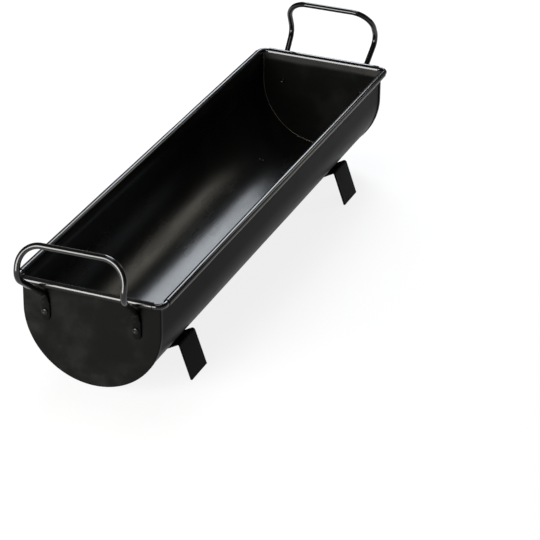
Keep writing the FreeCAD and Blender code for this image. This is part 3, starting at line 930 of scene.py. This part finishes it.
@dataclass
class Handle:
    """A round rod, bent into a loop and flattened at both ends into riveted tabs.

    Each half's knee is how far its second corner stands off its true place, outward and up, and its crest is
    how far its grip's corner stands above it.
    """

    sizes: Sizes
    end: str
    turn: float
    width: float
    reach: float
    overhang: float
    seed: float
    knees: tuple[Point, Point]
    crests: tuple[float, float]
    rod: float = 6.5 * MM
    rod_gap: float = 0.2 * MM
    tab_width: float = 10.0 * MM
    tab_below: float = 10.5 * MM
    tab_above: float = 8.5 * MM
    swelling: float = 17.0 * MM
    rod_start: float = 4.0 * MM
    bend_drop: float = 13.0 * MM
    reach_rise: float = 24.0 * MM
    rise: float = 61.0 * MM
    bends: tuple[float, float, float] = (10.0 * MM, 15.0 * MM, 24.5 * MM)
    tab_square: float = 2.5
    swell: float = 0.07 * MM
    swell_waves: float = 120.0
    sides: int = 32
    tip_steps: int = 10
    swelling_steps: int = 9
    grip_steps: int = 8

    def half_route(self, hand: int) -> list[Vector]:
        """The middle line of half the rod, from the tab's top to the middle of the grip.

        Args:
            hand: 0 for the half at +Y before the handle is turned, 1 for the other, mirrored to +Y.
        """
        sizes, knee, crest = self.sizes, self.knees[hand], self.crests[hand]
        face, rim = sizes.face, sizes.rim
        rod_x, tab_side, side = face + self.rod_gap + self.rod / 2, sizes.tab_spacing / 2, self.width / 2
        low = rim - sizes.tab_rivet_drop + self.tab_above
        corners = [
            Vector((rod_x, tab_side, low + self.rod_start)),
            Vector((rod_x, tab_side, rim - self.bend_drop)),
            Vector((face + self.reach + knee[0], side, rim + self.reach_rise + knee[1])),
            Vector((face + self.overhang, side, rim + self.rise + crest)),
            Vector((face + self.overhang, 0.0, rim + self.rise + sum(self.crests) / 2)),
        ]
        runs = [after - before for before, after in zip(corners, corners[1:])]
        turns = [before.angle(after) for before, after in zip(runs, runs[1:])]
        reaches = [0.0, *(radius * tan(turn / 2) for radius, turn in zip(self.bends, turns)), 0.0]
        spans = zip(runs, reaches, reaches[1:])
        room = [min(1.0, run.length / (before + after)) for run, before, after in spans]
        route = [corners[0]]
        for index, turn in enumerate(turns, start=1):
            reach = reaches[index] * min(room[index - 1], room[index])
            back, ahead = -runs[index - 1].normalized(), runs[index].normalized()
            middle = corners[index] + (back + ahead).normalized() * (reach / cos((pi - turn) / 2))
            first, last = corners[index] + back * reach - middle, corners[index] + ahead * reach - middle
            steps = max(6, round(degrees(turn) / 4))
            for step in range(steps + 1):
                share = step / steps
                spoke = (first * sin((1 - share) * turn) + last * sin(share * turn)) / sin(turn)
                route.append(middle + spoke)
        flat, grip = corners[-1] - route[-1], route[-1]
        return route + [grip + flat * (index / self.grip_steps) for index in range(1, self.grip_steps + 1)]

    def half_rings(self, hand: int) -> list[list[Vector]]:
        """The sections of half the rod, from the tab's tip to the middle of the grip.

        Args:
            hand: 0 for the half at +Y before the handle is turned, 1 for the other, mirrored to +Y.
        """
        sizes = self.sizes
        tab_x, side = sizes.face + sizes.tab_gap + sizes.tab_thickness / 2, sizes.tab_spacing / 2
        rivet = sizes.rim - sizes.tab_rivet_drop
        tip, top = rivet - self.tab_below, rivet + self.tab_above
        half_width, half_depth, rod = self.tab_width / 2, sizes.tab_thickness / 2, self.rod / 2
        square = self.tab_square
        rings: list[tuple[Vector, float, float, float]] = []
        for index in range(1, self.tip_steps + 1):
            share = 1 - cos(pi / 2 * index / self.tip_steps)
            reach = half_width * sqrt(max(1 - (1 - share) ** 2, 0.0))
            thin = half_depth * (0.72 + 0.28 * min(1.0, index / 5))
            rings.append((Vector((tab_x, side, tip + half_width * share)), reach, thin, square))
        for share in (0.35, 0.7, 1.0):
            height = tip + half_width + (top - tip - half_width) * share
            rings.append((Vector((tab_x, side, height)), half_width, half_depth, square))
        route = self.half_route(hand)
        swelling = []
        for index in range(1, self.swelling_steps):
            share = index / self.swelling_steps
            middle = Vector((tab_x, side, top)).lerp(route[0], share)
            middle.x = tab_x + (route[0].x - tab_x) * ease(share, 0.0, 1.0)
            swelling.append(middle)
        travelled, last = 0.0, Vector((tab_x, side, top))
        for middle in swelling + route:
            travelled += (middle - last).length
            last = middle
            share = ease(travelled, 0.0, self.swelling)
            wide, deep = half_width + (rod - half_width) * share, half_depth + (rod - half_depth) * share
            rings.append((middle, wide, deep, square + (2.0 - square) * share))
        middles = [ring[0] for ring in rings]
        sections = []
        for index, (middle, wide, deep, square) in enumerate(rings):
            if index < len(rings) - len(route):
                run = UP
            else:
                run = (middles[min(index + 1, len(middles) - 1)] - middles[index - 1]).normalized()
            depth_way = (ALONG - run * run.x).normalized()
            width_way = run.cross(depth_way)
            section = []
            for corner in range(self.sides):
                angle = 2 * pi * corner / self.sides
                cosine, sine = cos(angle), sin(angle)
                reach = (abs(cosine) ** square + abs(sine) ** square) ** (-1 / square)
                spoke = width_way * (wide * reach * cosine) + depth_way * (deep * reach * sine)
                swell = self.swell * sway(middle + spoke, self.swell_waves, self.seed)
                section.append(middle + spoke + spoke.normalized() * swell)
            sections.append(section)
        for point in sections[-1]:
            point.y = 0.0
        return sections

    def build(self) -> bpy.types.Object:
        """Make the handle's mesh and dress it."""
        rings = self.half_rings(0)
        for ring in reversed(self.half_rings(1)[:-1]):
            rings.append([Vector((point.x, -point.y, point.z)) for point in ring])
        points = [point for ring in rings for point in ring]
        piece = make_object(f"{self.end}_rod_handle", points, tube_faces(len(rings), self.sides))
        piece.data.transform(Matrix.Rotation(self.turn, 4, "Z"))
        return dress(piece, (ROD_COAT,), "coated_rod", f"{self.end}_handle")


@dataclass
class Rivets:
    """The rivets of the handles and the brackets: a dimpled dome outside, a rolled tail inside."""

    sizes: Sizes
    head: float = 3.7 * MM
    head_height: float = 1.9 * MM
    tail: float = 3.2 * MM
    tail_height: float = 1.3 * MM
    hollow: float = 1.25 * MM
    roll: float = 0.55 * MM
    edge: float = 0.18 * MM
    shank: float = 2.0 * MM

    def outline(self, grip: float) -> list[Point]:
        """The rivet's outline from its tail's hollow to the middle of its head.

        Args:
            grip: the thickness that it clamps.

        Returns:
            (radius, height) points, with the head's seat at height 0.
        """
        seat = -grip - 0.1 * MM
        low = seat - self.tail_height
        points = [(0.0, low + 0.9 * MM), (0.7 * MM, low + 0.85 * MM), (1.1 * MM, low + 0.35 * MM)]
        for angle in (200, 230, 260, 290, 320, 350, 380):
            turn = radians(angle)
            points.append((
                (self.hollow + self.tail) / 2 + (self.tail - self.hollow) / 2 * cos(turn),
                low + self.roll + self.roll * sin(turn),
            ))
        points += [(self.tail, seat), (self.shank, seat), (self.shank, 0.0)]
        points += [(self.head - 0.1 * MM, 0.0), (self.head, self.edge)]
        for share in (0.94, 0.85, 0.74, 0.62, 0.5, 0.4, 0.33):
            dome = (self.head_height - self.edge) * sqrt(1 - share ** 2.6)
            points.append((self.head * share, self.edge + dome))
        for radius, drop in ((0.9, 0.22), (0.5, 0.42), (0.0, 0.48)):
            points.append((radius * MM, self.head_height - drop * MM))
        return points

    def build(self) -> None:
        """Make all the rivets and dress them."""
        sizes, angle = self.sizes, self.sizes.rivet_angle
        seat = sizes.face + sizes.tab_gap + sizes.tab_thickness
        radius = sizes.body_radius + sizes.strip_gap + sizes.strip
        across, up = radius * sin(angle), sizes.axis - radius * cos(angle)
        for end, way in (("front", -1), ("rear", 1)):
            for side, hand in (("left", 1), ("right", -1)):
                seats = {
                    "handle": (
                        sizes.sheet + sizes.tab_gap + sizes.tab_thickness,
                        Vector((way * seat, hand * sizes.tab_spacing / 2, sizes.rim - sizes.tab_rivet_drop)),
                        Matrix.Rotation(way * pi / 2, 4, "Y"),
                    ),
                    "bracket": (
                        sizes.sheet + sizes.strip_gap + sizes.strip,
                        Vector((way * sizes.bracket_spacing / 2, hand * across, up)),
                        Matrix.Rotation(pi + hand * angle, 4, "X"),
                    ),
                }
                for joined, (grip, spot, turn) in seats.items():
                    node = f"{end}_{joined}_rivet_{side}"
                    piece = lathe(f"{node}_domed", self.outline(grip))
                    piece.data.transform(Matrix.Translation(spot) @ turn)
                    dress(piece, (RIVET_COAT,), "coated_rivet", node)


# ---- Studio ----


@dataclass(frozen=True)
class Lamp:
    """A rectangular soft lamp."""

    name: str
    place: tuple[float, float, float]
    aim: tuple[float, float, float]
    size: tuple[float, float]
    brightness: float
    colour: tuple[float, float, float] = (1.0, 1.0, 1.0)

    def hang(self) -> None:
        """Add the lamp to the scene; its power follows from its brightness and size."""
        light = bpy.data.lights.new(self.name, "AREA")
        light.shape = "RECTANGLE"
        light.size, light.size_y = self.size
        light.energy = pi * self.size[0] * self.size[1] * self.brightness
        light.color = self.colour
        lamp = bpy.data.objects.new(self.name, light)
        bpy.context.scene.collection.objects.link(lamp)
        lamp.location = self.place
        lamp.visible_camera = False
        lamp.rotation_euler = (Vector(self.aim) - Vector(self.place)).to_track_quat("-Z", "Y").to_euler()
        log.info("%s: %.1f W", self.name, light.energy)


@dataclass
class Studio:
    """A plain pale floor, soft lamps and the camera."""

    floor_colour: float = 0.17
    floor_lift: float = 0.84
    floor_reach: float = 14.0
    wall_grey: float = 0.22
    ceiling_grey: float = 0.05
    wall_top: Span = (0.02, 0.22)
    lamps: tuple[Lamp, ...] = (
        Lamp("front left box", (-1.43, 0.33, 0.405), (0.0, 0.0, 0.12), (0.84, 0.78), 18.5, (1.0, 0.99, 0.96)),
        Lamp("back panel", (1.08, 0.25, 0.96), (0.0, 0.0, 0.1), (0.54, 0.65), 15.0, (0.87, 0.93, 1.0)),
        Lamp("warm strip", (1.07, -0.56, 0.64), (0.0, 0.0, 0.1), (0.20, 0.44), 6.0, (1.0, 0.95, 0.82)),
        Lamp("overhead box", (0.0, 0.0, 2.10), (0.0, 0.0, 0.0), (0.90, 0.80), 4.0),
    )
    camera_place: tuple[float, float, float] = (-2.20528, -0.95731, 1.27023)
    camera_axes: tuple[tuple[float, float, float], ...] = (
        (0.380919, 0.429319, -0.818893),
        (-0.924544, 0.187307, -0.331865),
        (0.010908, 0.883516, 0.468274),
    )
    focal_length: float = 162.55

    def floor(self) -> None:
        """Lay the floor, which shows as near white to the camera and in the metal, and keeps the shadow."""
        half = self.floor_reach
        corners = [Vector((x * half, y * half, 0.0)) for x, y in ((-1, -1), (1, -1), (1, 1), (-1, 1))]
        plane = make_object("floor", corners, [(0, 1, 2, 3)])
        material = bpy.data.materials.new("pale floor")
        graph = Graph(material)
        rays = ("Camera", "Glossy", "Transmission")
        camera, glossy, through = (graph.add("ShaderNodeLightPath", output=f"Is {ray} Ray") for ray in rays)
        shade = graph.add("ShaderNodeBsdfDiffuse", inputs={"Color": (*[self.floor_colour] * 3, 1.0)})
        glow = {"Color": (*[self.floor_lift] * 3, 1.0), "Strength": 1.0}
        lift = graph.add("ShaderNodeEmission", inputs=glow)
        both = graph.add("ShaderNodeAddShader", inputs={0: shade, 1: lift})
        shown = graph.add("ShaderNodeMixShader", inputs={0: camera + glossy + through, 1: shade, 2: both})
        graph.add("ShaderNodeOutputMaterial", inputs={"Surface": shown})
        plane.data.materials.append(material)

    def surroundings(self) -> None:
        """A grey wall round the horizon under a dim ceiling."""
        world = bpy.data.worlds.new("studio")
        bpy.context.scene.world = world
        graph = Graph(world)
        place = graph.add("ShaderNodeTexCoord", output="Generated")
        height = graph.add("ShaderNodeSeparateXYZ", inputs={0: place}, output="Z")
        colour = graph.tint(height.between(*self.wall_top), [self.wall_grey] * 3, [self.ceiling_grey] * 3)
        sky = graph.add("ShaderNodeBackground", inputs={"Color": colour, "Strength": 1.0})
        graph.add("ShaderNodeOutputWorld", inputs={"Surface": sky})

    def camera(self) -> None:
        """Stand the camera where the photograph was taken from."""
        data = bpy.data.cameras.new("camera")
        data.sensor_width = 36.0
        data.lens = self.focal_length
        data.clip_start, data.clip_end = 0.05, 100.0
        eye = bpy.data.objects.new("camera", data)
        bpy.context.scene.collection.objects.link(eye)
        eye.matrix_world = Matrix.Translation(self.camera_place) @ Matrix(self.camera_axes).to_4x4()
        bpy.context.scene.camera = eye

    def build(self) -> None:
        """Set up the floor, the surroundings, the lamps and the camera."""
        self.floor()
        self.surroundings()
        for lamp in self.lamps:
            lamp.hang()
        self.camera()
        bpy.context.scene.view_settings.view_transform = "Standard"


def main() -> None:
    """Build the planter and its studio."""
    sizes = Sizes()
    Studio().build()
    Trough(sizes).build()
    RimWire(sizes).build()
    front = Handle(
        sizes, "front", pi, 115.0 * MM, 46.0 * MM, 35.8 * MM, seed=3.2,
        knees=((0.0, -1.0 * MM), (0.0, -1.0 * MM)), crests=(-0.5 * MM, -2.4 * MM),
    )
    rear = Handle(
        sizes, "rear", 0.0, 106.5 * MM, 42.0 * MM, 19.5 * MM, seed=5.2,
        knees=((-4.0 * MM, -6.0 * MM), (0.0, -1.0 * MM)), crests=(-0.1 * MM, -0.1 * MM),
    )
    for handle in (front, rear):
        EndPlate(sizes, handle.end, handle.turn, seed=handle.seed - 2.5).build()
        PaintedHighlightSeamBead(sizes, handle.end, handle.turn).build()
        way = -1 if handle.end == "front" else 1
        Bracket(sizes, handle.end, way * sizes.bracket_spacing / 2).build()
        handle.build()
    Rivets(sizes).build()
    bpy.context.view_layer.update()


if __name__ == "__main__":
    logging.basicConfig(level=logging.INFO, format="%(name)s: %(message)s")
    main()
